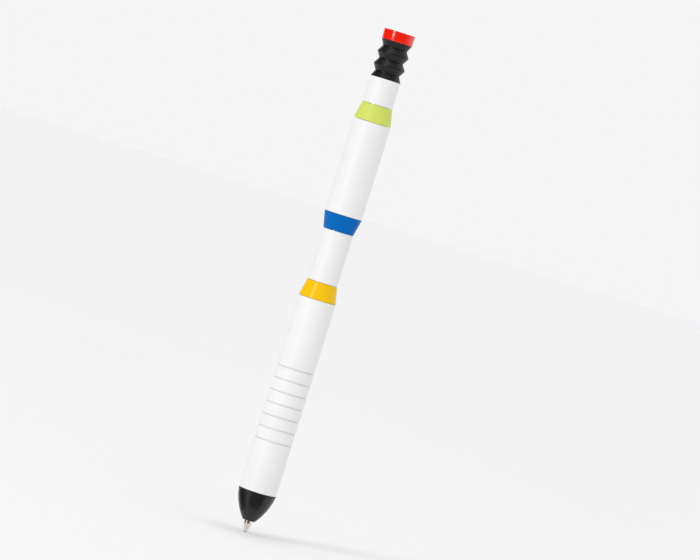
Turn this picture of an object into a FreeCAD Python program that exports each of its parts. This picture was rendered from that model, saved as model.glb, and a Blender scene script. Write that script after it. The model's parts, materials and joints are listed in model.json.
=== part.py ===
import FreeCAD, Part
import os
from math import cos, pi, radians, sin

# Retractable ball pen with coloured trim rings and a rubber bellows under its button.
# Millimetres. The pen stands upright: +Z runs from the writing ball to the button, and the
# origin is the lowest point of the writing ball, on the pen's axis.
# It is drawn with the tip out and the button up.

# ---------------------------------------------------------------- driving dimensions
# outside of the pen, along the axis
NOSE_END_Z = 3.3          # open end of the nose, where the tip comes out
NOSE_SEAM_Z = 11.5        # nose meets the front sleeve
YELLOW_Z = (65.4, 70.0)   # each coloured ring: lower and upper end
BLUE_Z = (84.4, 88.9)
GREEN_Z = (114.9, 119.6)
BELLOWS_Z = (126.9, 137.2)
CAP_TOP_Z = 140.0

# radii
WIDE_R = 5.2              # wide white sleeves
SLIM_R = 4.2              # slim white sleeves
SLEEVE_BORE_R = 4.25      # bore of the wide sleeves
SPIGOT_R = 4.22           # what is glued into a wide sleeve
CORE_R = 3.62             # core tube, outside
CORE_SEAT_R = 3.65        # bore of whatever is glued onto the core tube
CORE_BORE_R = 3.35
LINER_R = 3.32            # outside of what is glued into the core tube
NOSE_END_R = 1.7
NOSE_BULGE = 0.6          # height of the nose's curve over the straight line between its ends
CAP_BOTTOM_R = 4.2
CAP_TOP_R = 4.35

EDGE = 0.1                # broken edge where two outside pieces meet
SEAM_GAP = 0.08           # fine shadow line at the ends of the white sleeves
FIT = 0.05                # radial clearance of a running fit

# grip grooves of the front sleeve
GROOVE_COUNT = 7
GROOVE_FIRST_Z = 25.6
GROOVE_PITCH = 3.37
GROOVE_WIDTH = 0.42
GROOVE_DEPTH = 0.24

# screw joint between nose and front sleeve
THREAD_R = 3.6            # crest of the nose's thread
THREAD_Z = (12.0, 16.0)   # four turns of 1 mm pitch
PILOT_R = 3.3
PILOT_TOP_Z = 19.0
INSERT_Z = (11.8, 24.6)
CORE_BOTTOM_Z = 20.0
CORE_TOP_Z = 125.0
LEDGE = 0.4               # ledge in the insert that the core tube stands on
RING_SPIGOT = 5.0         # length of a ring's spigot inside its wide sleeve

# refill
BALL_R = 0.5
SOCKET_GAP = 0.02
LIP_Z = 0.3               # the ball stands this far out of its socket
LIP_R = 0.56
TIP_R = 1.15
TIP_WAIST = (0.64, 1.0)   # radius and height where the slim point widens into the cone
TIP_CONE_Z = 2.35         # cone ends and the round part of the tip begins
TIP_SHOULDER_Z = 10.2
TIP_SPIGOT_R = 0.9
TIP_SPIGOT_Z = 13.0
INK_CHANNEL_R = 0.3
NOSE_BORE_R = 1.25
NECK_R = 1.45
NECK_BORE_R = 1.15
REFILL_SHOULDER_Z = 20.0
REFILL_R = 2.95
REFILL_BORE_R = 2.7
REFILL_WALL = 0.25
REFILL_TUBE_TOP_Z = 82.0
PLUG_SPIGOT = 6.0
PLUG_STEP_Z = 90.0
PLUG_REAR_R = 2.6
PLUG_TOP_Z = 98.0
PLUG_VENT_R = 0.8

# return spring
SPRING_SEAT_Z = 9.2
SPRING_R = 2.15           # mean radius of the coil
SPRING_WIRE_R = 0.17
SPRING_TURNS = 9
SPRING_END_GAP = 0.02
CHAMBER_R = 2.55          # spring chamber inside the nose

# click mechanism
KEY_COUNT = 4             # fins, splines and grooves around the axis
KEY_ANGLE = 20.0          # width of a fin or spline
GROOVE_ANGLE = 28.0       # width of a groove in the guide
KEY_R = 2.85
KEY_ROOT_R = 2.0
HUB_R = 2.2
RIB_R = 2.3
GUIDE_BORE_R = 3.0
GUIDE_Z = (99.0, 118.0)
RIB_BOTTOM_Z = 105.0
TOOTH_RISE = 0.8
CAM_Z = (98.05, 104.0)
FIN_BOTTOM_Z = 99.6
FIN_TOP_Z = 104.95
CAM_PIN_R = 1.0
CAM_PIN_TOP_Z = 104.8
CROWN_Z = (110.05, 117.8)
CROWN_BORE_R = 1.3
CROWN_BORE_TOP_Z = 114.0
CROWN_TEETH = 8
SPLINE_BOTTOM_Z = 111.2
STEM_R = 1.7
STEM_TOP_Z = 139.0
BUSHING_NECK_R = 2.7
BUSHING_NECK_TOP_Z = 128.2

# bellows
FOLD_COUNT = 3
RIDGE_R = 4.3
VALLEY_R = 3.3
BELLOWS_WALL = 0.5
BELLOWS_LIP = 0.7         # height of the thick lip at each end
BELLOWS_TOP_LIP_R = 2.7
CAP_HUB_R = 2.6
CAP_HUB_Z = 135.9


# ---------------------------------------------------------------- shape helpers
def vec(r, z):
    """A point of a half profile, in the XZ plane."""
    return FreeCAD.Vector(r, 0, z)


def revolve(edges):
    """Turn a closed half profile about the pen's axis."""
    face = Part.Face(Part.Wire(edges))
    return face.revolve(FreeCAD.Vector(0, 0, 0), FreeCAD.Vector(0, 0, 1), 360)


def lines(points):
    """Straight edges through the (r, z) points, in order."""
    pairs = zip(points[:-1], points[1:])
    return [Part.makeLine(vec(*a), vec(*b)) for a, b in pairs]


def turned(points):
    """A turned solid from a closed outline of (r, z) points."""
    return revolve(lines(points + points[:1]))


def rod(radius, z0, z1):
    return Part.makeCylinder(radius, z1 - z0, FreeCAD.Vector(0, 0, z0))


def tube(bore_r, outer_r, z0, z1):
    """A plain tube whose two outside edges are broken."""
    return turned([
        (bore_r, z0),
        (outer_r - EDGE, z0),
        (outer_r, z0 + EDGE),
        (outer_r, z1 - EDGE),
        (outer_r - EDGE, z1),
        (bore_r, z1),
    ])


def sector(inner_r, outer_r, z0, z1, width):
    """A piece of a ring, width degrees wide, centred on +X."""
    wedge = Part.makeCylinder(
        outer_r, z1 - z0, FreeCAD.Vector(0, 0, z0), FreeCAD.Vector(0, 0, 1), width)
    wedge.rotate(FreeCAD.Vector(0, 0, 0), FreeCAD.Vector(0, 0, 1), -width / 2)
    return wedge.cut(rod(inner_r, z0 - 1, z1 + 1))


def radial_prism(outline, x0, x1):
    """A prism along +X from an outline of (y, z) points."""
    points = [FreeCAD.Vector(x0, y, z) for y, z in outline + outline[:1]]
    face = Part.Face(Part.makePolygon(points))
    return face.extrude(FreeCAD.Vector(x1 - x0, 0, 0))


def around(shape, count, offset=0.0):
    """Copies of a shape, evenly spaced about the axis."""
    copies = []
    for index in range(count):
        copy = shape.copy()
        angle = offset + index * 360.0 / count
        copy.rotate(FreeCAD.Vector(0, 0, 0), FreeCAD.Vector(0, 0, 1), angle)
        copies.append(copy)
    return copies


# ---------------------------------------------------------------- barrel
def front_sleeve():
    """Wide white sleeve with the seven fine grip grooves."""
    z0 = NOSE_SEAM_Z
    z1 = YELLOW_Z[0] - SEAM_GAP
    outline = [(SLEEVE_BORE_R, z0), (WIDE_R - EDGE, z0), (WIDE_R, z0 + EDGE)]
    for index in range(GROOVE_COUNT):
        centre = GROOVE_FIRST_Z + index * GROOVE_PITCH
        half = GROOVE_WIDTH / 2
        floor_half = half / 2
        floor_r = WIDE_R - GROOVE_DEPTH
        outline += [
            (WIDE_R, centre - half),
            (floor_r, centre - floor_half),
            (floor_r, centre + floor_half),
            (WIDE_R, centre + half),
        ]
    outline += [(WIDE_R, z1 - EDGE), (WIDE_R - EDGE, z1), (SLEEVE_BORE_R, z1)]
    return turned(outline)


def thread_insert():
    """Brass insert in the front sleeve: the nose screws in below, the core tube stands above."""
    ledge_z = CORE_BOTTOM_Z - LEDGE
    bore_r = THREAD_R + FIT
    return turned([
        (bore_r, INSERT_Z[0]),
        (SPIGOT_R, INSERT_Z[0]),
        (SPIGOT_R, INSERT_Z[1]),
        (CORE_SEAT_R, INSERT_Z[1]),
        (CORE_SEAT_R, CORE_BOTTOM_Z),
        (CORE_BORE_R, CORE_BOTTOM_Z),
        (CORE_BORE_R, ledge_z),
        (bore_r, ledge_z),
    ])


def core_tube():
    """Metal tube that runs the length of the barrel and carries sleeves and rings."""
    span = (CORE_BOTTOM_Z, CORE_TOP_Z)
    return rod(CORE_R, *span).cut(rod(CORE_BORE_R, *span))


def trim_ring(low_z, high_z, low_r, high_r):
    """Tapered ring; its wide end carries a spigot that centres the wide sleeve."""
    ring = turned([
        (CORE_SEAT_R, low_z),
        (low_r - EDGE, low_z),
        (low_r, low_z + EDGE),
        (high_r, high_z - EDGE),
        (high_r - EDGE, high_z),
        (CORE_SEAT_R, high_z),
    ])
    if low_r > high_r:
        spigot_z = (low_z - RING_SPIGOT, low_z)
    else:
        spigot_z = (high_z, high_z + RING_SPIGOT)
    spigot = rod(SPIGOT_R, *spigot_z).cut(rod(CORE_SEAT_R, *spigot_z))
    return ring.fuse(spigot).removeSplitter()


def yellow_ring():
    return trim_ring(YELLOW_Z[0], YELLOW_Z[1], WIDE_R, SLIM_R)


def middle_sleeve():
    return tube(CORE_SEAT_R, SLIM_R, YELLOW_Z[1] + SEAM_GAP, BLUE_Z[0] - SEAM_GAP)


def blue_ring():
    return trim_ring(BLUE_Z[0], BLUE_Z[1], SLIM_R, WIDE_R)


def rear_sleeve():
    return tube(SLEEVE_BORE_R, WIDE_R, BLUE_Z[1] + SEAM_GAP, GREEN_Z[0] - SEAM_GAP)


def green_ring():
    return trim_ring(GREEN_Z[0], GREEN_Z[1], WIDE_R, SLIM_R)


def top_sleeve():
    return tube(CORE_SEAT_R, SLIM_R, GREEN_Z[1] + SEAM_GAP, BELLOWS_Z[0])


def stem_bushing():
    """Closes the core tube, guides the button's stem and holds the foot of the bellows."""
    bore_r = STEM_R + FIT
    return turned([
        (bore_r, GUIDE_Z[1]),
        (LINER_R, GUIDE_Z[1]),
        (LINER_R, CORE_TOP_Z),
        (CORE_R, CORE_TOP_Z),
        (CORE_R, BELLOWS_Z[0]),
        (BUSHING_NECK_R, BELLOWS_Z[0]),
        (BUSHING_NECK_R, BUSHING_NECK_TOP_Z),
        (bore_r, BUSHING_NECK_TOP_Z),
    ])


def guide_sleeve():
    """Fixed half of the click mechanism: ribs with slanted lower ends and grooves between."""
    wall = rod(LINER_R, *GUIDE_Z).cut(rod(GUIDE_BORE_R, *GUIDE_Z))
    rib_angle = 360.0 / KEY_COUNT - GROOVE_ANGLE
    overlap = 0.1
    rib = sector(RIB_R, GUIDE_BORE_R + overlap, RIB_BOTTOM_Z, GUIDE_Z[1], rib_angle)
    half_width = GUIDE_BORE_R * sin(radians(rib_angle / 2))
    slant = radial_prism([
        (-half_width, RIB_BOTTOM_Z),
        (half_width, RIB_BOTTOM_Z + TOOTH_RISE),
        (half_width, RIB_BOTTOM_Z - 1),
        (-half_width, RIB_BOTTOM_Z - 1),
    ], 0, CORE_R)
    ribs = around(rib.cut(slant), KEY_COUNT, 180.0 / KEY_COUNT)
    return wall.fuse(ribs).removeSplitter()


def bellows():
    """Rubber bellows with three sharp folds and a thick lip at each end."""
    pitch = (BELLOWS_Z[1] - BELLOWS_Z[0]) / FOLD_COUNT
    outside = [(SLIM_R, BELLOWS_Z[0])]
    for index in range(FOLD_COUNT):
        valley_z = BELLOWS_Z[0] + (index + 0.5) * pitch
        outside.append((VALLEY_R, valley_z))
        outside.append((RIDGE_R, valley_z + pitch / 2))
    outside[-1] = (SLIM_R, BELLOWS_Z[1])
    inside = [(r - BELLOWS_WALL, z) for r, z in outside[1:-1]]
    lip_low = BELLOWS_Z[0] + BELLOWS_LIP
    lip_high = BELLOWS_Z[1] - BELLOWS_LIP
    lip_wall_r = SLIM_R - 2 * BELLOWS_WALL
    inside = [(BUSHING_NECK_R, BELLOWS_Z[0]), (BUSHING_NECK_R, lip_low), (lip_wall_r, lip_low)] + inside
    inside += [(lip_wall_r, lip_high), (BELLOWS_TOP_LIP_R, lip_high), (BELLOWS_TOP_LIP_R, BELLOWS_Z[1])]
    return turned(outside + inside[::-1])


# ---------------------------------------------------------------- nose and spring
def nose_cone():
    """Bullet-shaped nose with a screwed spigot, a spring chamber and the tip's bore."""
    shoulder_z = NOSE_SEAM_Z - SEAM_GAP
    low = vec(NOSE_END_R, NOSE_END_Z)
    high = vec(WIDE_R, shoulder_z)
    chord = high - low
    outward = vec(chord.z, -chord.x).normalize()
    ogive = Part.Arc(low, (low + high) * 0.5 + outward * NOSE_BULGE, high).toShape()
    upper = lines([
        (WIDE_R, shoulder_z),
        (PILOT_R, shoulder_z),
        (PILOT_R, THREAD_Z[0]),
        (THREAD_R, THREAD_Z[0]),
        (THREAD_R, THREAD_Z[1]),
        (PILOT_R, THREAD_Z[1]),
        (PILOT_R, PILOT_TOP_Z),
        (CHAMBER_R, PILOT_TOP_Z),
        (CHAMBER_R, SPRING_SEAT_Z),
        (NOSE_BORE_R, SPRING_SEAT_Z),
        (NOSE_BORE_R, NOSE_END_Z),
        (NOSE_END_R, NOSE_END_Z),
    ])
    return revolve([ogive] + upper)


def return_spring():
    """Coil that stands on the seat in the nose and bears on the refill's shoulder."""
    end = SPRING_WIRE_R + SPRING_END_GAP
    z0 = SPRING_SEAT_Z + end
    height = REFILL_SHOULDER_Z - end - z0
    pitch = height / SPRING_TURNS
    path = Part.Wire(Part.makeHelix(pitch, height, SPRING_R).Edges)
    path.translate(FreeCAD.Vector(0, 0, z0))
    heading = FreeCAD.Vector(0, 1, pitch / (2 * pi * SPRING_R))
    section = Part.Wire([Part.makeCircle(SPRING_WIRE_R, vec(SPRING_R, z0), heading)])
    return path.makePipeShell([section], True, True)


# ---------------------------------------------------------------- refill
def writing_ball():
    return Part.makeSphere(BALL_R, FreeCAD.Vector(0, 0, BALL_R))


def refill_tip():
    """Metal socket that holds the ball, with the ink channel along its axis."""
    body = turned([
        (0, LIP_Z),
        (LIP_R, LIP_Z),
        TIP_WAIST,
        (TIP_R, TIP_CONE_Z),
        (TIP_R, TIP_SHOULDER_Z),
        (TIP_SPIGOT_R, TIP_SHOULDER_Z),
        (TIP_SPIGOT_R, TIP_SPIGOT_Z),
        (0, TIP_SPIGOT_Z),
    ])
    socket = Part.makeSphere(BALL_R + SOCKET_GAP, FreeCAD.Vector(0, 0, BALL_R))
    channel = rod(INK_CHANNEL_R, BALL_R, TIP_SPIGOT_Z)
    return body.cut(socket.fuse(channel))


def refill_tube():
    """Metal ink tube with a narrow neck that the return spring surrounds."""
    floor_z = REFILL_SHOULDER_Z + REFILL_WALL
    return turned([
        (TIP_SPIGOT_R, TIP_SHOULDER_Z),
        (NECK_R, TIP_SHOULDER_Z),
        (NECK_R, REFILL_SHOULDER_Z),
        (REFILL_R, REFILL_SHOULDER_Z),
        (REFILL_R, REFILL_TUBE_TOP_Z),
        (REFILL_BORE_R, REFILL_TUBE_TOP_Z),
        (REFILL_BORE_R, floor_z),
        (NECK_BORE_R, floor_z),
        (NECK_BORE_R, TIP_SPIGOT_Z),
        (TIP_SPIGOT_R, TIP_SPIGOT_Z),
    ])


def ink_column():
    """The ink in the tube and its neck, drawn as a solid."""
    floor_z = REFILL_SHOULDER_Z + REFILL_WALL
    top_z = REFILL_TUBE_TOP_Z - PLUG_SPIGOT
    return turned([
        (0, TIP_SPIGOT_Z),
        (NECK_BORE_R, TIP_SPIGOT_Z),
        (NECK_BORE_R, floor_z),
        (REFILL_BORE_R, floor_z),
        (REFILL_BORE_R, top_z),
        (0, top_z),
    ])


def refill_plug():
    """Plastic rear end of the refill, with a vent along its axis."""
    spigot_z = REFILL_TUBE_TOP_Z - PLUG_SPIGOT
    return turned([
        (PLUG_VENT_R, spigot_z),
        (REFILL_BORE_R, spigot_z),
        (REFILL_BORE_R, REFILL_TUBE_TOP_Z),
        (REFILL_R, REFILL_TUBE_TOP_Z),
        (REFILL_R, PLUG_STEP_Z),
        (PLUG_REAR_R, PLUG_STEP_Z),
        (PLUG_REAR_R, PLUG_TOP_Z),
        (PLUG_VENT_R, PLUG_TOP_Z),
    ])


# ---------------------------------------------------------------- click mechanism
def cam_rotor():
    """Turning cam: a hub with slanted fins that run in the guide's grooves."""
    hub = rod(HUB_R, *CAM_Z).fuse(rod(CAM_PIN_R, CAM_Z[1], CAM_PIN_TOP_Z))
    fin = sector(KEY_ROOT_R, KEY_R, FIN_BOTTOM_Z, FIN_TOP_Z, KEY_ANGLE)
    half_width = KEY_R * sin(radians(KEY_ANGLE / 2))
    slant = radial_prism([
        (-half_width, FIN_TOP_Z - TOOTH_RISE),
        (half_width, FIN_TOP_Z),
        (half_width, FIN_TOP_Z + 1),
        (-half_width, FIN_TOP_Z + 1),
    ], 0, CORE_R)
    return hub.fuse(around(fin.cut(slant), KEY_COUNT)).removeSplitter()


def plunger():
    """Button stem with a splined crown; the crown's teeth push and turn the cam."""
    crown = rod(HUB_R, *CROWN_Z).cut(rod(CROWN_BORE_R, CROWN_Z[0], CROWN_BORE_TOP_Z))
    tooth_angle = pi / CROWN_TEETH
    half_width = HUB_R * cos(tooth_angle) * sin(tooth_angle)
    notch = radial_prism([
        (-half_width, CROWN_Z[0] - EDGE),
        (half_width, CROWN_Z[0] - EDGE),
        (half_width, CROWN_Z[0]),
        (0, CROWN_Z[0] + TOOTH_RISE),
        (-half_width, CROWN_Z[0]),
    ], CROWN_BORE_R / 2, CORE_R)
    crown = crown.cut(around(notch, CROWN_TEETH))
    spline = sector(KEY_ROOT_R, KEY_R, SPLINE_BOTTOM_Z, CROWN_Z[1], KEY_ANGLE)
    stem = rod(STEM_R, CROWN_Z[1], STEM_TOP_Z)
    return crown.fuse(around(spline, KEY_COUNT) + [stem]).removeSplitter()


def red_cap():
    """Button cap: a flat disc, slightly wider at its top, with a hub over the stem."""
    return turned([
        (STEM_R, CAP_HUB_Z),
        (CAP_HUB_R, CAP_HUB_Z),
        (CAP_HUB_R, BELLOWS_Z[1]),
        (CAP_BOTTOM_R - EDGE, BELLOWS_Z[1]),
        (CAP_BOTTOM_R, BELLOWS_Z[1] + EDGE),
        (CAP_TOP_R, CAP_TOP_Z - EDGE),
        (CAP_TOP_R - EDGE, CAP_TOP_Z),
        (0, CAP_TOP_Z),
        (0, STEM_TOP_Z),
        (STEM_R, STEM_TOP_Z),
    ])


NODES = [
    front_sleeve, thread_insert, core_tube, yellow_ring, middle_sleeve, blue_ring, rear_sleeve,
    green_ring, top_sleeve, stem_bushing, guide_sleeve, bellows, nose_cone, return_spring,
    writing_ball, refill_tip, refill_tube, ink_column, refill_plug, cam_rotor, plunger, red_cap,
]

os.makedirs("parts", exist_ok=True)
for build in NODES:
    shape = build()
    if not shape.isValid() or len(shape.Solids) != 1:
        raise ValueError(f"{build.__name__} is not one valid solid")
    solid = shape.Solids[0]
    solid.exportStep(f"parts/{build.__name__}.step")
    print(f"{build.__name__}: {solid.Volume:.2f} mm3")
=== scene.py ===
import json
from math import atan2, cos, pi, radians, sin, sqrt

import bmesh
import bpy
from mathutils import Matrix, Vector


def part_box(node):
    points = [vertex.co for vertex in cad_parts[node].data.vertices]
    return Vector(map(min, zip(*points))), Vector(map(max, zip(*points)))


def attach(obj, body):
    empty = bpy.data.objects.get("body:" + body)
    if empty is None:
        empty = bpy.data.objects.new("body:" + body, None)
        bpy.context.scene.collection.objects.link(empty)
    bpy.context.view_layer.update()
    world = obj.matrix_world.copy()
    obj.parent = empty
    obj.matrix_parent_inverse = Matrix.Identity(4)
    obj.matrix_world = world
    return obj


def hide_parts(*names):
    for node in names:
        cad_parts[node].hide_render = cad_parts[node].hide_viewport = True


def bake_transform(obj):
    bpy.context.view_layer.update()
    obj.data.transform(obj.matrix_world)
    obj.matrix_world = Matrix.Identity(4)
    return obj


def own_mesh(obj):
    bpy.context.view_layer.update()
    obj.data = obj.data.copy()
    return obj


# Retractable pen: white sleeves, tapered coloured rings, black nose, rubber bellows, red button.
# Outlines are (radius, height) pairs in millimetres. They are turned about the pen's axis into
# meshes in metres. Heights and outer radii come from the frame.

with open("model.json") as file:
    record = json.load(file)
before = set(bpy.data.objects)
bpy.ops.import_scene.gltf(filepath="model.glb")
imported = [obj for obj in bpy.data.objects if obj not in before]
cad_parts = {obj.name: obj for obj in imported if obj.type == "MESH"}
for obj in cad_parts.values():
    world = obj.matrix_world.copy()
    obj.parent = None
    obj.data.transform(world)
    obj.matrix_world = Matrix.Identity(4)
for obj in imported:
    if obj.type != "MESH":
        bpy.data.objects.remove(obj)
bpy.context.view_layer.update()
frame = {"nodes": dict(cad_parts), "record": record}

MM = 0.001
SEGMENTS = 160            # faces round a visible turned piece
AXIS_R = 1e-6             # a smaller radius than this is a point on the axis
SMOOTH_ANGLE = radians(40)


def span(node):
    """Lowest and highest height of a CAD node, in millimetres."""
    low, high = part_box(node)
    return low.z / MM, high.z / MM


def outer(node):
    """Outer radius of a CAD node, in millimetres."""
    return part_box(node)[1].x / MM


# ---------------------------------------------------------------- sizes that several pieces share
SLEEVE_BORE_R = 4.25
SPIGOT_R = 4.22
CORE_SEAT_R = 3.65
EDGE_CUT = 0.12           # rounding of the outside edges at a joint line
SOFT_CUT = 0.05           # rounding of edges that don't show much

WIDE_R = outer("front_sleeve")
SLIM_R = outer("middle_sleeve")
NOSE_Z = span("nose_cone")
SEAM_Z = span("front_sleeve")[0]
SEAM_GAP = 0.08           # shadow line at the ends of the wide sleeves
YELLOW_Z = (span("front_sleeve")[1] + SEAM_GAP, span("yellow_ring")[1])
BLUE_Z = (span("blue_ring")[0], span("rear_sleeve")[0] - SEAM_GAP)
GREEN_Z = (span("rear_sleeve")[1] + SEAM_GAP, span("green_ring")[1])
BELLOWS_Z = span("bellows")

GROOVE_COUNT = 7
GROOVE_FIRST_Z = 25.6
GROOVE_PITCH = 3.37
GROOVE_WIDTH = 0.42
GROOVE_FLOOR_SHARE = 0.6  # width of a groove's floor, as a share of its width at the surface
GROOVE_DEPTH = 0.24
GROOVE_SHADE_RIM = 0.02         # depth at which a groove's painted shade starts


# ---------------------------------------------------------------- node materials
NOISE_SPAN = (0.3, 0.7)   # most of a noise's values lie between these
PLASTIC_IOR = 1.5
RUBBER_IOR = 1.48


class Surface:
    """A node material in the making. Noise scales are in waves per metre."""

    def __init__(self, name):
        self.material = bpy.data.materials.new(name)
        self.material.use_nodes = True
        self.nodes = self.material.node_tree.nodes
        self.links = self.material.node_tree.links
        self.shader = self.nodes["Principled BSDF"]
        self.place = self.nodes.new("ShaderNodeTexCoord").outputs["Object"]

    def noise(self, scale, detail, stretch=(1, 1, 1)):
        mapping = self.nodes.new("ShaderNodeMapping")
        mapping.inputs["Scale"].default_value = stretch
        texture = self.nodes.new("ShaderNodeTexNoise")
        texture.inputs["Scale"].default_value = scale
        texture.inputs["Detail"].default_value = detail
        self.links.new(self.place, mapping.inputs["Vector"])
        self.links.new(mapping.outputs["Vector"], texture.inputs["Vector"])
        return texture.outputs["Fac"]

    def axis_distance(self):
        """Distance from the pen's axis, in millimetres."""
        flat = self.nodes.new("ShaderNodeVectorMath")
        flat.operation = "MULTIPLY"
        flat.inputs[1].default_value = (1 / MM, 1 / MM, 0)
        length = self.nodes.new("ShaderNodeVectorMath")
        length.operation = "LENGTH"
        self.links.new(self.place, flat.inputs[0])
        self.links.new(flat.outputs["Vector"], length.inputs[0])
        return length.outputs["Value"]

    def ranged(self, value, low, high, source=NOISE_SPAN):
        """Spread a value that lies in the source span over low to high."""
        node = self.nodes.new("ShaderNodeMapRange")
        node.inputs["From Min"].default_value = source[0]
        node.inputs["From Max"].default_value = source[1]
        node.inputs["To Min"].default_value = low
        node.inputs["To Max"].default_value = high
        self.links.new(value, node.inputs["Value"])
        return node.outputs["Result"]

    def two_tone(self, value, first, second, source=NOISE_SPAN):
        """Go from one colour to another as a value crosses the source span."""
        ramp = self.nodes.new("ShaderNodeValToRGB")
        elements = ramp.color_ramp.elements
        for element, position, color in zip(elements, source, (first, second)):
            element.position = position
            element.color = (*color, 1)
        self.links.new(value, ramp.inputs["Fac"])
        return ramp.outputs["Color"]

    def tinted(self, share, base, tint):
        """Mix a plain colour into a linked one."""
        mix = self.nodes.new("ShaderNodeMix")
        mix.data_type = "RGBA"
        self.links.new(share, mix.inputs["Factor"])
        self.links.new(base, mix.inputs["A"])
        mix.inputs["B"].default_value = (*tint, 1)
        return mix.outputs["Result"]

    def bump(self, height, strength, depth_mm, under=None):
        node = self.nodes.new("ShaderNodeBump")
        node.inputs["Strength"].default_value = strength
        node.inputs["Distance"].default_value = depth_mm * MM
        self.links.new(height, node.inputs["Height"])
        if under is not None:
            self.links.new(under, node.inputs["Normal"])
        return node.outputs["Normal"]

    def multiply_add(self, value, factor, addend):
        node = self.nodes.new("ShaderNodeMath")
        node.operation = "MULTIPLY_ADD"
        node.inputs[1].default_value = factor
        self.links.new(value, node.inputs[0])
        self.links.new(addend, node.inputs[2])
        return node.outputs["Value"]

    def link(self, color, roughness, normal=None):
        """Link the shader's sockets that vary over the surface."""
        self.links.new(color, self.shader.inputs["Base Color"])
        self.links.new(roughness, self.shader.inputs["Roughness"])
        if normal is not None:
            self.links.new(normal, self.shader.inputs["Normal"])

    def set(self, socket, value):
        """Set a socket of the shader that is the same all over the surface."""
        self.shader.inputs[socket].default_value = value


def shade(color, factor):
    return tuple(min(1.0, channel * factor) for channel in color)


def lacquer(name, color, roughness, specular=0.5, peel_depth=1.0, groove_shade_color=None):
    """Sprayed gloss: faint clouding, slight orange peel and fine dust; grooves may get painted
    shade, darkest at their floors.
    """
    surface = Surface(name)
    cloud = surface.noise(scale=90, detail=2)
    peel = surface.noise(scale=1300, detail=2)
    dust = surface.noise(scale=9000, detail=4)
    tint = surface.two_tone(cloud, shade(color, 0.965), color)
    # Painted shade: a darker grey fills the grooves, deepest at their floors.
    if groove_shade_color is not None:
        groove_shade_share = surface.ranged(surface.axis_distance(), 1, 0,
                                      (WIDE_R - GROOVE_DEPTH, WIDE_R - GROOVE_SHADE_RIM))
        tint = surface.tinted(groove_shade_share, tint, groove_shade_color)
    peeled = surface.bump(peel, strength=0.12 * peel_depth, depth_mm=0.012)
    surface.link(
        tint,
        surface.ranged(dust, roughness - 0.04, roughness + 0.06),
        surface.bump(dust, strength=0.06 * peel_depth, depth_mm=0.004, under=peeled),
    )
    surface.set("IOR", PLASTIC_IOR)
    surface.set("Specular IOR Level", specular)
    return surface.material


def fine_plastic(name, color, roughness, grain_mm=0.09, specular=0.5):
    """Moulded plastic with the fine even grain of an eroded mould."""
    surface = Surface(name)
    cloud = surface.noise(scale=160, detail=3)
    grain = surface.noise(scale=1 / (grain_mm * MM), detail=4)
    surface.link(
        surface.two_tone(cloud, shade(color, 0.85), shade(color, 1.12)),
        surface.ranged(grain, roughness - 0.07, roughness + 0.08),
        surface.bump(grain, strength=0.3, depth_mm=0.012),
    )
    surface.set("IOR", PLASTIC_IOR)
    surface.set("Specular IOR Level", specular)
    return surface.material


def rubber(name, valley_shade_color, ridge_color, valley_r, ridge_r):
    """Matte rubber: powdery grain and smudges; darker in the valleys as painted shade, paler on
    the ridges as handling wear.
    """
    surface = Surface(name)
    grain = surface.noise(scale=7000, detail=5)
    smudge = surface.noise(scale=420, detail=4)
    # Painted shade and wear: dark in the valleys, paler towards the ridges.
    height = surface.ranged(surface.axis_distance(), 0, 0.8, (valley_r, ridge_r))
    wear_and_shade = surface.multiply_add(smudge, 0.35, height)
    surface.link(
        surface.two_tone(wear_and_shade, valley_shade_color, ridge_color, (0.1, 1.0)),
        surface.ranged(smudge, 0.28, 0.44),
        surface.bump(grain, strength=0.35, depth_mm=0.014),
    )
    surface.set("IOR", RUBBER_IOR)
    surface.set("Specular IOR Level", 0.33)
    return surface.material


def turned_metal(name, color, dark, roughness, ring_mm):
    """Bare metal from a lathe: fine rings round the axis and faint tarnish."""
    surface = Surface(name)
    rings = surface.noise(scale=1 / (ring_mm * MM), detail=3, stretch=(0, 0, 1))
    stain = surface.noise(scale=700, detail=4)
    surface.link(
        surface.two_tone(stain, dark, color, (0.25, 0.6)),
        surface.ranged(rings, roughness - 0.05, roughness + 0.09),
        surface.bump(rings, strength=0.25, depth_mm=0.006),
    )
    surface.set("Metallic", 1.0)
    return surface.material


def drawn_metal(name, color, dark, roughness):
    """Bare metal drawn through a die: fine streaks along the axis."""
    surface = Surface(name)
    streaks = surface.noise(scale=6000, detail=4, stretch=(1, 1, 0.02))
    stain = surface.noise(scale=300, detail=3)
    surface.link(
        surface.two_tone(stain, dark, color),
        surface.ranged(streaks, roughness - 0.06, roughness + 0.1),
        surface.bump(streaks, strength=0.2, depth_mm=0.006),
    )
    surface.set("Metallic", 1.0)
    return surface.material


def floor_paint(name, color):
    """Matte paint with faint clouding, for the floor and the reflected panels."""
    surface = Surface(name)
    cloud = surface.noise(scale=6, detail=3)
    grain = surface.noise(scale=900, detail=3)
    surface.link(
        surface.two_tone(cloud, shade(color, 0.99), color),
        surface.ranged(grain, 0.7, 0.85),
    )
    surface.set("Specular IOR Level", 0.1)
    return surface.material
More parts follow.
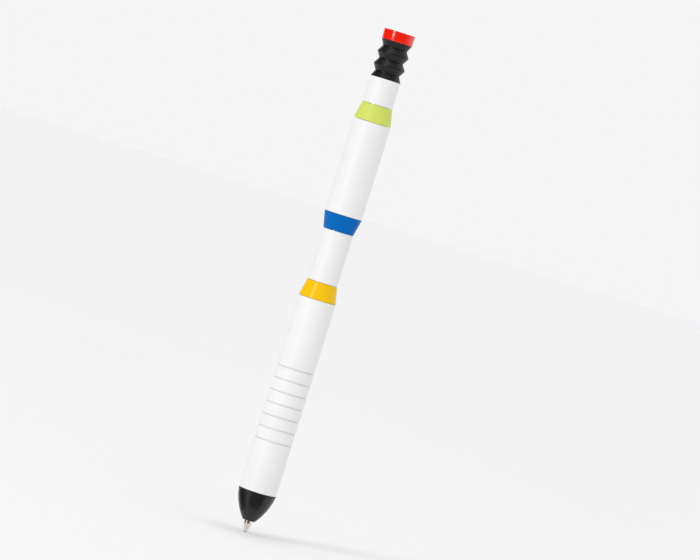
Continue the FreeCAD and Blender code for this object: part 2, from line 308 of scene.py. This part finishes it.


# Linear colours. Each key is a material slot of the record, but for white_groove_shade, which is
# the look of the front sleeve, with painted shade in its grooves.
WHITE = (0.815, 0.815, 0.81)
# Painted shade for the grooves of the front sleeve.
GROOVE_PAINTED_SHADE = (0.69, 0.70, 0.706)
MATERIALS = {
    "white_lacquer": lacquer("pen_white", WHITE, roughness=0.42),
    "white_groove_shade": lacquer("pen_white_groove_shade", WHITE, roughness=0.42, groove_shade_color=GROOVE_PAINTED_SHADE),
    "yellow_ring": lacquer("ring_amber", (0.86, 0.505, 0.0), roughness=0.21, specular=0.24),
    "blue_ring": lacquer("ring_blue", (0.0, 0.126, 0.45), roughness=0.2, specular=0.06),
    "green_ring": lacquer("ring_lime", (0.59, 0.68, 0.125), roughness=0.3, specular=0.2),
    "red_cap": lacquer("cap_red", (0.82, 0.0125, 0.0), roughness=0.075, specular=0.85,
                       peel_depth=0.06),
    "black_nose": fine_plastic("nose_black", (0.0125, 0.0125, 0.0134), roughness=0.3,
                               specular=0.42),
    # The darker valley colour is painted shade in the folds.
    "black_rubber": rubber("bellows_rubber", (0.001, 0.001, 0.0012), (0.007, 0.0072, 0.0078),
                           valley_r=3.35, ridge_r=4.3),
    "point_metal": turned_metal("point_metal", (0.94, 0.85, 0.77), (0.78, 0.66, 0.56),
                                roughness=0.2, ring_mm=0.05),
    "ball_metal": turned_metal("ball_metal", (0.30, 0.27, 0.26), (0.2, 0.18, 0.18),
                               roughness=0.15, ring_mm=0.05),
    "spring_steel": drawn_metal("spring_steel", (0.62, 0.63, 0.65), (0.5, 0.5, 0.52),
                                roughness=0.22),
    "brass": turned_metal("insert_brass", (0.80, 0.60, 0.28), (0.62, 0.44, 0.18),
                          roughness=0.28, ring_mm=0.08),
    "core_metal": drawn_metal("core_metal", (0.72, 0.73, 0.75), (0.6, 0.61, 0.63),
                              roughness=0.3),
    "refill_metal": drawn_metal("refill_metal", (0.66, 0.66, 0.67), (0.56, 0.56, 0.57),
                                roughness=0.26),
    "ink": fine_plastic("ink_blue_black", (0.012, 0.018, 0.07), roughness=0.12, grain_mm=0.5),
    "refill_plastic": fine_plastic("refill_plastic", (0.02, 0.07, 0.28), roughness=0.35),
    "mechanism_plastic": fine_plastic("mechanism_plastic", (0.70, 0.70, 0.67), roughness=0.36,
                                      grain_mm=0.12),
}


# ---------------------------------------------------------------- mesh helpers
def softened(corners, steps=4):
    """Round the corners of a closed (r, z, cut) outline; cut is where the rounding starts."""
    points = []
    for index, (r, z, cut) in enumerate(corners):
        here = Vector((r, z))
        if cut == 0:
            points.append((r, z))
            continue
        before = Vector(corners[index - 1][:2])
        after = Vector(corners[(index + 1) % len(corners)][:2])
        start = here + (before - here).normalized() * cut
        end = here + (after - here).normalized() * cut
        for step in range(steps + 1):
            t = step / steps
            point = start * (1 - t) ** 2 + here * 2 * t * (1 - t) + end * t ** 2
            points.append((point.x, point.y))
    return points


def new_object(name, data):
    item = bpy.data.objects.new(name, data)
    bpy.context.scene.collection.objects.link(item)
    return item


def new_mesh(name, vertices, faces):
    mesh = bpy.data.meshes.new(name)
    mesh.from_pydata(vertices, [], faces)
    return mesh


def closed_mesh(name, vertices, faces):
    """A mesh whose faces all look outward."""
    mesh = new_mesh(name, vertices, faces)
    work = bmesh.new()
    work.from_mesh(mesh)
    bmesh.ops.recalc_face_normals(work, faces=work.faces)
    work.to_mesh(mesh)
    work.free()
    return mesh


def add_piece(name, mesh, node, body, slot, look=None):
    """Let a finished mesh stand for its CAD node; without a body, it gets no weighted normals and
    stays unattached.
    """
    mesh.materials.append(MATERIALS[look or slot])
    for polygon in mesh.polygons:
        polygon.use_smooth = True
    mesh.set_sharp_from_angle(angle=SMOOTH_ANGLE)
    piece = new_object(name, mesh)
    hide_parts(node)
    if body is not None:
        normals = piece.modifiers.new("weighted_normals", "WEIGHTED_NORMAL")
        normals.keep_sharp = True
        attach(piece, body)
    return piece


def lathe_mesh(name, points, reshape=None, segments=SEGMENTS):
    """Turn a closed outline about the axis; reshape may change the radius at (r, z, angle)."""
    vertices = []
    rings = []
    for r, z in points:
        if r < AXIS_R:
            rings.append([len(vertices)] * segments)
            vertices.append((0, 0, z * MM))
            continue
        first = len(vertices)
        rings.append(list(range(first, first + segments)))
        for index in range(segments):
            angle = 2 * pi * index / segments
            radius = reshape(r, z, angle) if reshape else r
            vertices.append((radius * cos(angle) * MM, radius * sin(angle) * MM, z * MM))
    faces = []
    for ring, following in zip(rings, rings[1:] + rings[:1]):
        for index in range(segments):
            after = (index + 1) % segments
            corners = [ring[index], ring[after], following[after], following[index]]
            face = list(dict.fromkeys(corners))
            if len(face) > 2:
                faces.append(face)
    return closed_mesh(name, vertices, faces)


def lathe(name, corners, node, body, slot, look=None):
    return add_piece(name, lathe_mesh(name, softened(corners)), node, body, slot, look)


# ---------------------------------------------------------------- barrel
def make_front_sleeve():
    corners = [(SLEEVE_BORE_R, SEAM_Z, SOFT_CUT), (WIDE_R, SEAM_Z, EDGE_CUT)]
    half = GROOVE_WIDTH / 2
    half_floor = half * GROOVE_FLOOR_SHARE
    for index in range(GROOVE_COUNT):
        centre = GROOVE_FIRST_Z + index * GROOVE_PITCH
        corners += [
            (WIDE_R, centre - half, SOFT_CUT),
            (WIDE_R - GROOVE_DEPTH, centre - half_floor, SOFT_CUT),
            (WIDE_R - GROOVE_DEPTH, centre + half_floor, SOFT_CUT),
            (WIDE_R, centre + half, SOFT_CUT),
        ]
    top_z = span("front_sleeve")[1]
    corners += [(WIDE_R, top_z, EDGE_CUT), (SLEEVE_BORE_R, top_z, SOFT_CUT)]
    lathe("white_front_sleeve", corners, "front_sleeve", "barrel", "white_lacquer",
          look="white_groove_shade")


def make_plain_sleeve(name, node, bore_r):
    z0, z1 = span(node)
    outer_r = outer(node)
    corners = [
        (bore_r, z0, SOFT_CUT),
        (outer_r, z0, EDGE_CUT),
        (outer_r, z1, EDGE_CUT),
        (bore_r, z1, SOFT_CUT),
    ]
    lathe(name, corners, node, "barrel", "white_lacquer")


def make_ring(name, node, cone_z, low_r, high_r):
    """Tapered trim ring and the spigot that goes into the wide sleeve."""
    z0, z1 = cone_z
    node_z0, node_z1 = span(node)
    corners = [(CORE_SEAT_R, node_z0, SOFT_CUT)]
    if low_r > high_r:
        corners += [(SPIGOT_R, node_z0, SOFT_CUT), (SPIGOT_R, z0, 0)]
    corners += [(low_r, z0, EDGE_CUT), (high_r, z1, EDGE_CUT)]
    if high_r > low_r:
        corners += [(SPIGOT_R, z1, 0), (SPIGOT_R, node_z1, SOFT_CUT)]
    corners.append((CORE_SEAT_R, node_z1, SOFT_CUT))
    lathe(name, corners, node, "barrel", node)


# ---------------------------------------------------------------- bellows
FOLD_COUNT = 3
FOLD_CUT = 0.3            # rounding of the ridges and valleys
VALLEY_R = 3.3
RIDGE_EXTRA = 0.08        # a ridge's corner before rounding stands out this much further
BELLOWS_WALL = 0.5
BELLOWS_LIP = 0.7
FOOT_LIP_R = 2.7


def make_bellows():
    """Rubber folds with tight rounded ridges."""
    z0, z1 = BELLOWS_Z
    ridge_r = outer("bellows") + RIDGE_EXTRA
    pitch = (z1 - z0) / FOLD_COUNT
    fold = []
    for index in range(FOLD_COUNT):
        valley_z = z0 + (index + 0.5) * pitch
        fold.append((VALLEY_R, valley_z, FOLD_CUT))
        if index < FOLD_COUNT - 1:
            fold.append((ridge_r, valley_z + pitch / 2, FOLD_CUT))
    inside = [(r - BELLOWS_WALL, z, cut) for r, z, cut in fold]
    lip_r = SLIM_R - 2 * BELLOWS_WALL
    corners = [(SLIM_R, z0, SOFT_CUT)] + fold + [(SLIM_R, z1, SOFT_CUT)]
    corners += [
        (FOOT_LIP_R, z1, SOFT_CUT),
        (FOOT_LIP_R, z1 - BELLOWS_LIP, SOFT_CUT),
        (lip_r, z1 - BELLOWS_LIP, 0),
    ]
    corners += inside[::-1]
    corners += [
        (lip_r, z0 + BELLOWS_LIP, 0),
        (FOOT_LIP_R, z0 + BELLOWS_LIP, SOFT_CUT),
        (FOOT_LIP_R, z0, SOFT_CUT),
    ]
    piece = lathe("rubber_bellows", corners, "bellows", "barrel", "black_rubber")
    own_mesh(piece)


# ---------------------------------------------------------------- button
CAP_HUB_R = 2.6
CAP_SEAT_R = 1.7
CAP_SEAT_Z = 139.0
CAP_BOTTOM_R = 4.2
CAP_BOTTOM_CUT = 0.1
CAP_TOP_CUT = 0.2


def make_cap():
    z0, z1 = span("red_cap")
    corners = [
        (CAP_SEAT_R, z0, SOFT_CUT),
        (CAP_HUB_R, z0, SOFT_CUT),
        (CAP_HUB_R, BELLOWS_Z[1], 0),
        (CAP_BOTTOM_R, BELLOWS_Z[1], CAP_BOTTOM_CUT),
        (outer("red_cap"), z1, CAP_TOP_CUT),
        (0, z1, 0),
        (0, CAP_SEAT_Z, 0),
        (CAP_SEAT_R, CAP_SEAT_Z, 0),
    ]
    lathe("red_button_cap", corners, "red_cap", "button", "red_cap")


# ---------------------------------------------------------------- nose
NOSE_END_R = 1.7
NOSE_BORE_R = 1.25
NOSE_BORE_CUT = 0.06
NOSE_BULGE = 0.6          # how far the arc stands out from the straight line
NOSE_STEPS = 32
NOSE_TRIM = 3             # points of the arc that each rounded end takes the place of
SPRING_SEAT_Z = 9.2
CHAMBER_R = 2.55
CHAMBER_CUT = 0.1
PILOT_R = 3.3
PILOT_CUT = 0.15
THREAD_R = 3.6
THREAD_Z = (12.0, 16.0)
THREAD_PITCH = 1.0
THREAD_DEPTH = 0.3
THREAD_STEEPNESS = 1.5    # over 1, the thread has a flat root
THREAD_FADE = 0.25        # length over which the thread fades at each end
THREAD_ROWS_PER_MM = 20
THREAD_R_TOLERANCE = 0.01


def nose_curve(shoulder_z):
    """Points of the nose's outside, an arc from its mouth up to its shoulder."""
    low = Vector((NOSE_END_R, NOSE_Z[0]))
    high = Vector((WIDE_R, shoulder_z))
    half = (high - low) / 2
    arc_r = (half.length ** 2 + NOSE_BULGE ** 2) / (2 * NOSE_BULGE)
    outward = Vector((half.y, -half.x)).normalized()
    centre = low + half - outward * (arc_r - NOSE_BULGE)
    first = atan2(low.y - centre.y, low.x - centre.x)
    last = atan2(high.y - centre.y, high.x - centre.x)
    points = []
    for step in range(NOSE_STEPS + 1):
        angle = first + (last - first) * step / NOSE_STEPS
        points.append((centre.x + arc_r * cos(angle), centre.y + arc_r * sin(angle)))
    return points


def screw_thread(r, z, angle):
    """Cut a right-handed V thread into the threaded stretch, fading at both ends."""
    z0, z1 = THREAD_Z
    if r < THREAD_R - THREAD_R_TOLERANCE or not z0 < z < z1:
        return r
    phase = ((z - z0) / THREAD_PITCH - angle / (2 * pi)) % 1
    wave = min(1.0, THREAD_STEEPNESS * (1 - abs(2 * phase - 1)))
    fade = min(1.0, (z - z0) / THREAD_FADE, (z1 - z) / THREAD_FADE)
    return r - THREAD_DEPTH * wave * fade


def make_nose():
    shoulder_z = SEAM_Z - SEAM_GAP
    curve = nose_curve(shoulder_z)
    mouth = softened([
        (NOSE_BORE_R, SPRING_SEAT_Z, 0),
        (NOSE_BORE_R, NOSE_Z[0], NOSE_BORE_CUT),
        (NOSE_END_R, NOSE_Z[0], EDGE_CUT),
        (*curve[NOSE_TRIM - 1], 0),
    ])[1:-1]
    shoulder = softened([
        (*curve[-NOSE_TRIM], 0),
        (WIDE_R, shoulder_z, EDGE_CUT),
        (PILOT_R, shoulder_z, 0),
    ])[1:]
    rows = int((THREAD_Z[1] - THREAD_Z[0]) * THREAD_ROWS_PER_MM)
    rear = [(PILOT_R, THREAD_Z[0])]
    for row in range(rows + 1):
        rear.append((THREAD_R, THREAD_Z[0] + row / THREAD_ROWS_PER_MM))
    rear.append((PILOT_R, THREAD_Z[1]))
    rear += softened([
        (PILOT_R, THREAD_Z[1], 0),
        (PILOT_R, NOSE_Z[1], PILOT_CUT),
        (CHAMBER_R, NOSE_Z[1], CHAMBER_CUT),
        (CHAMBER_R, SPRING_SEAT_Z, 0),
    ])[1:]
    rear.append((NOSE_BORE_R, SPRING_SEAT_Z))
    points = mouth + curve[NOSE_TRIM:-NOSE_TRIM] + shoulder + rear
    mesh = lathe_mesh("black_nose", points, screw_thread)
    add_piece("black_nose", mesh, "nose_cone", "nose", "black_nose")


# ---------------------------------------------------------------- writing point
BALL_R = outer("writing_ball")
BALL_SEGMENTS = 64
SOCKET_R = BALL_R + 0.02
LIP_R = 0.56              # rolled lip that holds the ball
LIP_CUT = 0.03
NECK = (0.64, 1.0, 0.2)   # lower end of the cone: radius, height and rounding
CONE_TOP_Z = 2.35
CONE_TOP_CUT = 0.25
TIP_R = outer("refill_tip")
TIP_SHOULDER_Z = 10.2
TIP_SPIGOT_R = 0.9
INK_CHANNEL_R = 0.3
CURVE_STEPS = 12


def make_point():
    """Metal point: slim rolled lip round the ball, cone, and round body."""
    z0, z1 = span("refill_tip")
    lip_angle = -atan2(BALL_R - z0, sqrt(SOCKET_R ** 2 - (BALL_R - z0) ** 2))
    top_angle = atan2(sqrt(SOCKET_R ** 2 - INK_CHANNEL_R ** 2), INK_CHANNEL_R)
    socket = []
    for step in range(CURVE_STEPS + 1):
        angle = top_angle + (lip_angle - top_angle) * step / CURVE_STEPS
        socket.append((SOCKET_R * cos(angle), BALL_R + SOCKET_R * sin(angle)))
    outside = softened([
        (*socket[-2], 0),
        (LIP_R, z0, LIP_CUT),
        NECK,
        (TIP_R, CONE_TOP_Z, CONE_TOP_CUT),
        (TIP_R, TIP_SHOULDER_Z, SOFT_CUT),
        (TIP_SPIGOT_R, TIP_SHOULDER_Z, 0),
        (TIP_SPIGOT_R, z1, SOFT_CUT),
        (INK_CHANNEL_R, z1, 0),
    ])[1:]
    mesh = lathe_mesh("metal_point", socket + outside)
    add_piece("metal_point", mesh, "refill_tip", "refill", "point_metal")


def make_ball():
    points = []
    steps = 2 * CURVE_STEPS
    for step in range(steps + 1):
        angle = -pi / 2 + pi * step / steps
        radius = 0 if step in (0, steps) else BALL_R * cos(angle)
        points.append((radius, BALL_R + BALL_R * sin(angle)))
    mesh = lathe_mesh("ball", points, segments=BALL_SEGMENTS)
    add_piece("ball", mesh, "writing_ball", "ball", "ball_metal")


# ---------------------------------------------------------------- return spring
WIRE_R = 0.17
COIL_R = 2.15
ACTIVE_TURNS = 7
WIRE_SIDES = 12
STEPS_PER_TURN = 48


def make_spring():
    """Steel coil with a closed turn at each end."""
    z0, z1 = span("return_spring")
    low = z0 + WIRE_R
    high = z1 - WIRE_R
    dead = 2 * WIRE_R
    turns = ACTIVE_TURNS + 2
    heights = []
    for step in range(turns * STEPS_PER_TURN + 1):
        turn = step / STEPS_PER_TURN
        if turn < 1:
            heights.append(low + dead * turn)
        elif turn > turns - 1:
            heights.append(high - dead * (turns - turn))
        else:
            heights.append(low + dead + (high - low - 2 * dead) * (turn - 1) / ACTIVE_TURNS)
    vertices = []
    for step, height in enumerate(heights):
        angle = 2 * pi * step / STEPS_PER_TURN
        for side in range(WIRE_SIDES):
            around = 2 * pi * side / WIRE_SIDES
            radius = COIL_R + WIRE_R * cos(around)
            z = height + WIRE_R * sin(around)
            vertices.append((radius * cos(angle) * MM, radius * sin(angle) * MM, z * MM))
    faces = [list(range(WIRE_SIDES))[::-1]]
    for step in range(len(heights) - 1):
        first = step * WIRE_SIDES
        for side in range(WIRE_SIDES):
            after = (side + 1) % WIRE_SIDES
            faces.append([first + side, first + after,
                          first + WIRE_SIDES + after, first + WIRE_SIDES + side])
    last = (len(heights) - 1) * WIRE_SIDES
    faces.append(list(range(last, last + WIRE_SIDES)))
    mesh = closed_mesh("steel_spring", vertices, faces)
    piece = add_piece("steel_spring", mesh, "return_spring", None, "spring_steel")
    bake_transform(piece)


# ---------------------------------------------------------------- build
make_front_sleeve()
make_plain_sleeve("white_middle_sleeve", "middle_sleeve", CORE_SEAT_R)
make_plain_sleeve("white_rear_sleeve", "rear_sleeve", SLEEVE_BORE_R)
make_plain_sleeve("white_top_sleeve", "top_sleeve", CORE_SEAT_R)
make_ring("amber_ring", "yellow_ring", YELLOW_Z, WIDE_R, SLIM_R)
make_ring("blue_trim_ring", "blue_ring", BLUE_Z, SLIM_R, WIDE_R)
make_ring("lime_ring", "green_ring", GREEN_Z, WIDE_R, SLIM_R)
make_bellows()
make_cap()
make_nose()
make_point()
make_ball()
make_spring()

# The inner CAD nodes, which no piece replaces, get the material of their slot.
NODE_SLOTS = {row["node"]: row["material_slot"] for row in frame["record"]["subparts"]}
for node_name, node_object in frame["nodes"].items():
    if not node_object.hide_render:
        node_object.material_slots[0].material = MATERIALS[NODE_SLOTS[node_name]]

# ---------------------------------------------------------------- floor and light
# Distances and heights from here on are in metres, and azimuths in degrees.
FLOOR_HALF = 4.0
FLOOR_DROP = 0.2 * MM     # gap under the ball
FLOOR_WHITE = (0.885, 0.885, 0.89)
STUDIO_WHITE = (0.92, 0.92, 0.926)

floor_corners = [(-1, -1), (1, -1), (1, 1), (-1, 1)]
floor_mesh = new_mesh("floor", [(x * FLOOR_HALF, y * FLOOR_HALF, 0) for x, y in floor_corners],
                      [(0, 1, 2, 3)])
floor_mesh.materials.append(floor_paint("floor_paint", FLOOR_WHITE))
floor = new_object("floor", floor_mesh)
floor.location.z = -FLOOR_DROP

world = bpy.data.worlds.new("studio")
world.use_nodes = True
background = world.node_tree.nodes["Background"]
background.inputs["Color"].default_value = (*STUDIO_WHITE, 1)
background.inputs["Strength"].default_value = 1.0
bpy.context.scene.world = world


def facing(azimuth, elevation):
    """Direction from the pen; azimuth 0 is the camera's side and negative is to its left."""
    side = radians(azimuth)
    rise = radians(elevation)
    return Vector((sin(side) * cos(rise), -cos(side) * cos(rise), sin(rise)))


def add_light(data, direction, location):
    light = new_object(data.name, data)
    light.location = location
    light.rotation_mode = "QUATERNION"
    light.rotation_quaternion = (-direction).to_track_quat("-Z", "Y")


def sun_light(name, azimuth, elevation, spread, strength):
    data = bpy.data.lights.new(name, "SUN")
    data.angle = radians(spread)
    data.energy = strength
    direction = facing(azimuth, elevation)
    add_light(data, direction, direction)


def strip_light(name, azimuth, distance, width, low, high, power):
    """An upright strip between two heights, aimed level at the pen."""
    data = bpy.data.lights.new(name, "AREA")
    data.shape = "RECTANGLE"
    data.size = width
    data.size_y = high - low
    data.energy = power
    direction = facing(azimuth, 0)
    add_light(data, direction, direction * distance + Vector((0, 0, (low + high) / 2)))


sun_light("top", azimuth=-40, elevation=66, spread=12, strength=0.3)
strip_light("strip", azimuth=-39, distance=1.5, width=0.2, low=0.0, high=1.05, power=5.75)

PANEL_STEPS = 12
TALL_PANEL = {"distance": 0.5, "height": 0.6}
LOW_PANEL = {"distance": 0.009, "height": 0.0105}


def reflected_panel(name, azimuths, grey, distance, height):
    """A curved panel round the pen that only shows in the gloss of the surfaces."""
    first_azimuth, last_azimuth = azimuths
    vertices = []
    faces = []
    for step in range(PANEL_STEPS + 1):
        azimuth = first_azimuth + (last_azimuth - first_azimuth) * step / PANEL_STEPS
        foot = facing(azimuth, 0) * distance
        vertices += [foot, foot + Vector((0, 0, height))]
        if step:
            last = 2 * step
            faces.append((last - 2, last, last + 1, last - 1))
    mesh = new_mesh(name, vertices, faces)
    mesh.materials.append(floor_paint(name, (grey, grey, grey)))
    panel = new_object(name, mesh)
    panel.visible_camera = False
    panel.visible_diffuse = False
    panel.visible_shadow = False


reflected_panel("panel_left", (-135, -48), grey=0.03, **TALL_PANEL)
reflected_panel("panel_front", (-27, 54), grey=0.03, **TALL_PANEL)
reflected_panel("panel_right", (54, 84), grey=0.3, **TALL_PANEL)
reflected_panel("low_card_left", (-104, -51), grey=0.06, **LOW_PANEL)
reflected_panel("low_card_front", (-26, 44), grey=0.18, **LOW_PANEL)

# ---------------------------------------------------------------- camera
# The camera stands below the pen's top, looks slightly down, and is rolled, so that the pen leans
# to the right in the picture.
LEAN = radians(17.25)
CAMERA_DISTANCE = 1.1432
CAMERA_HEIGHT = 0.115
AIM = Vector((0.00686, 0, 0.0729))

camera_data = bpy.data.cameras.new("camera")
camera_data.lens = 220.0
camera_data.sensor_width = 36
camera_data.clip_start = 0.05
camera_data.clip_end = 50
camera = new_object("camera", camera_data)
camera.location = Vector((AIM.x, -CAMERA_DISTANCE, CAMERA_HEIGHT))
aim_turn = (AIM - camera.location).to_track_quat("-Z", "Y")
camera.rotation_mode = "QUATERNION"
camera.rotation_quaternion = aim_turn @ Matrix.Rotation(LEAN, 4, "Z").to_quaternion()
bpy.context.scene.camera = camera
bpy.context.scene.view_settings.view_transform = "Standard"
